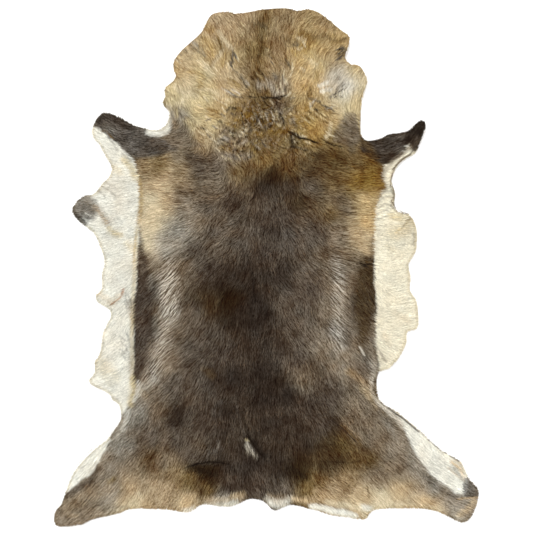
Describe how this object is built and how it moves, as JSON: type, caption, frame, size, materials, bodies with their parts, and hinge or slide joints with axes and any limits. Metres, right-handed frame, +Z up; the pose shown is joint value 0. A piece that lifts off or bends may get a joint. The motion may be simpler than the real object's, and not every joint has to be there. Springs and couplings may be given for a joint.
{
  "type": "reindeer hide",
  "caption": "Tanned reindeer hide laid out flat, fur side up: a soft pelt rug or seat cover with the neck at one end and the hind legs spread at the other.",
  "frame": {"origin": "under the middle of the hide's bounding box, on the surface that the hide lies on", "axes": "+Y from the rump towards the neck, +X across the hide to its right side as seen from above, +Z up out of the fur"},
  "size_m": [1.0666, 1.3074, 0.0344],
  "materials": {
    "fur": "matte"
  },
  "bodies": {
    "root": {"hide": "fur"}
  },
  "joints": []
}
